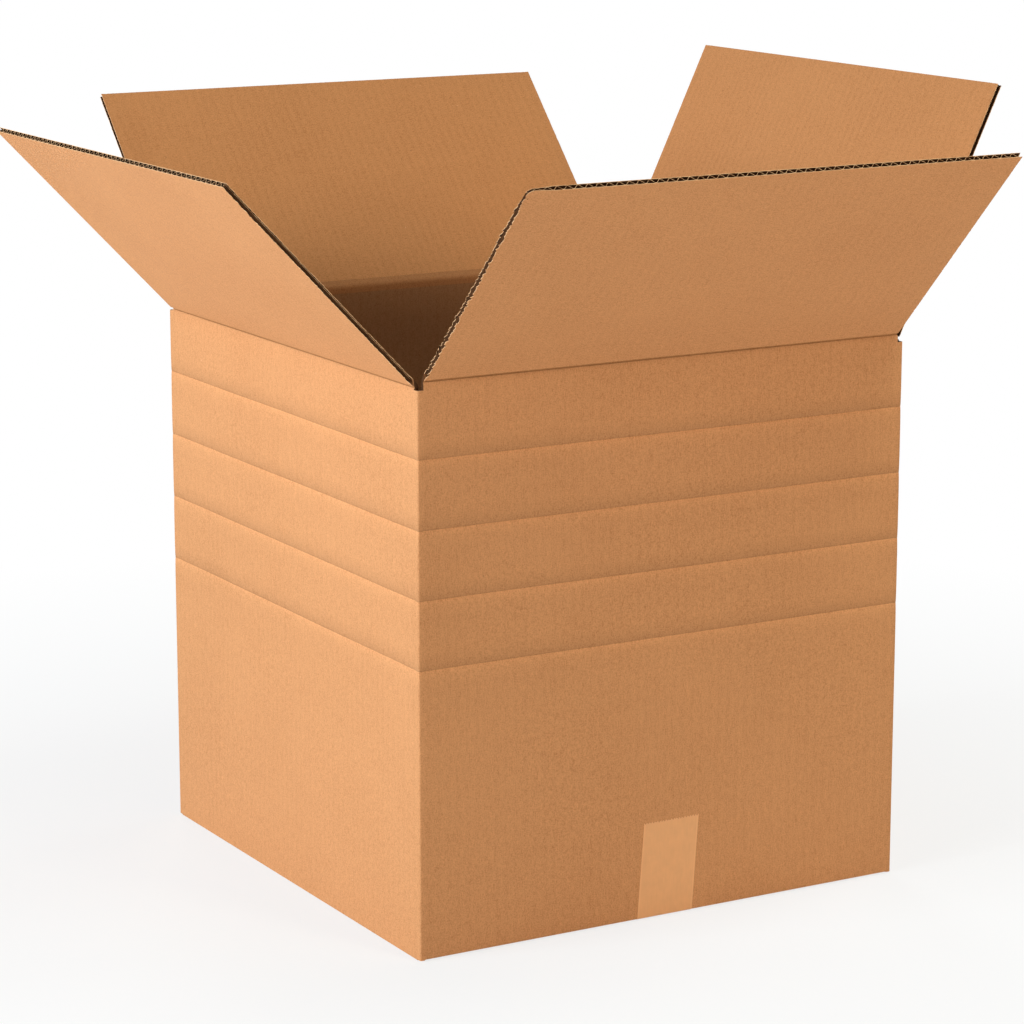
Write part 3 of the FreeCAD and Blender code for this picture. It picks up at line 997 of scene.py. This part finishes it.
def film(name):
    """Tan tape film over kraft: even in colour apart from a painted highlight along its side edges, smoother
    than the board, with small streaks.
    """
    finish = Finish(bpy.data.materials.new(name))
    place = finish.node("ShaderNodeTexCoord", output=3)
    streaks = finish.node("ShaderNodeVectorMath", {"operation": "MULTIPLY"}, {0: place, 1: TAPE_STREAKS})
    lengthwise = noise(finish, streaks, 1.0, {"Detail": 2.0})
    bubbles = noise(finish, place, 130.0, {"Detail": 3.0})
    shade = (lengthwise - 0.5) * 0.5 + (bubbles - 0.5) * 0.7 + 0.5
    deep, light, lightest = (tuple(value * share for value in TAPE_TAN) for share in (0.95, 1.05, 1.10))
    tan = finish.ramp(shade, [(0.25, deep), (0.75, light)])
    # Both side edges are painted lighter: a painted highlight where the film's edge catches the light.
    across = finish.node("ShaderNodeSeparateXYZ", {}, {0: place}, "X")
    leaning = across.beside("Z") * across.beside("Y").below(0.0) * math.tan(TAPE_LEAN)
    edge = (across - leaning).size().above(TAPE_HALF - TAPE_HIGHLIGHT_EDGE)
    tan = finish.blend(edge * 0.5, tan, (*lightest, 1.0))
    height = lengthwise * 0.4 + bubbles
    surface = finish.node("ShaderNodeBump", {}, {"Strength": 0.12, "Distance": 0.0003, "Height": height})
    shader = finish.node("ShaderNodeBsdfPrincipled", {}, {
        "Base Color": tan, "Roughness": 0.42 + (bubbles - 0.5) * 0.2, "Normal": surface,
        "Specular IOR Level": 0.35})
    finish.node("ShaderNodeOutputMaterial", {}, {0: shader})
    return finish.owner


face_y = HALF_Y + TAPE_CLEAR
bpy.ops.object.select_all(action="DESELECT")
bpy.ops.mesh.primitive_grid_add(x_subdivisions=TAPE_COLUMNS, y_subdivisions=1, size=1.0)
tape = bpy.context.object
tape.name = "tape_strip"
tape.data.materials.append(film("tape_film"))
tape.scale = (2 * TAPE_HALF, 2 * LAYER_SIDE, 1.0)
tape.rotation_euler = (math.pi, 0.0, 0.0)
bpy.ops.object.transform_apply(location=True, rotation=True, scale=True)
open_mesh(tape)
for end in (-1, 1):
    spot = Vector((0.0, end * LAYER_SIDE, 0.0))
    pick("edges", lambda edge: near(middle(edge).y, spot.y) and near(span(edge).y, 0.0)
         and middle(edge).z < 1e-5)
    route = [(HALF_Y - BOTTOM_ROUND, FOOT_Z - TAPE_CLEAR)]
    for slant in (30, 60, 90):
        sweep = math.radians(slant)
        route.append((HALF_Y - BOTTOM_ROUND + (BOTTOM_ROUND + TAPE_CLEAR) * math.sin(sweep),
                      FOOT_Z + BOTTOM_ROUND - (BOTTOM_ROUND + TAPE_CLEAR) * math.cos(sweep)))
    foot = route[-1][1]
    route += [(face_y, foot + (TAPE_HEIGHT - foot) * row / TAPE_ROWS) for row in range(1, TAPE_ROWS + 1)]
    for y, z in route:
        target = Vector((0.0, end * y, z))
        bpy.ops.mesh.extrude_edges_move(TRANSFORM_OT_translate={"value": target - spot})
        spot = target
for end in (-1, 1):
    pick("edges", lambda edge: near(middle(edge).z, TAPE_HEIGHT) and middle(edge).y * end > 0)
    bpy.ops.mesh.subdivide(number_cuts=round(2 * TEETH / TAPE_COLUMNS))
    pick("verts", lambda vert: near(vert.co.z, TAPE_HEIGHT) and vert.co.y * end > 0)
    count = sum(1 for vert in bmesh.from_edit_mesh(tape.data).verts if vert.select) - 1
    pick("verts", lambda vert: near(vert.co.z, TAPE_HEIGHT) and vert.co.y * end > 0
         and round((vert.co.x + TAPE_HALF) / (2 * TAPE_HALF) * count) % 2 == 1)
    move((0.0, 0.0, -TOOTH_DEPTH))
    pick("verts", lambda vert: vert.co.z > TAPE_HEIGHT - 1.5 * TOOTH_DEPTH and vert.co.y * end > 0
         and abs(vert.co.x) < TAPE_HALF - 1e-4)
    bpy.ops.transform.vertex_random(offset=TOOTH_UNEVEN, uniform=0.0, normal=0.0, seed=31 + end)
    bpy.ops.transform.resize(value=(1.0, 0.0, 1.0), center_override=(0.0, end * face_y, TAPE_HEIGHT))
front_y = -HALF_Y + 0.0015
standing = [vert.co for vert in bmesh.from_edit_mesh(tape.data).verts if vert.co.y < front_y]
for level in sorted({round(spot.z, 6) for spot in standing}):
    pick("verts", lambda vert: round(vert.co.z, 6) == level and vert.co.y < front_y)
    move((math.tan(TAPE_LEAN) * level, 0.0, 0.0))
close_mesh()
weigh(tape, "front_back", lambda spot: panel_bow(spot) if abs(spot.x) < abs(spot.y) else 0.0)
ripple(tape, "front_back", BOW_SIZE, 2 * BOW, "Y")
thicken(tape, TAPE_FILM, even=False)
bpy.ops.object.shade_smooth_by_angle(angle=math.radians(40.0))
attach(tape, "carton")
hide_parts("bottom_tape")
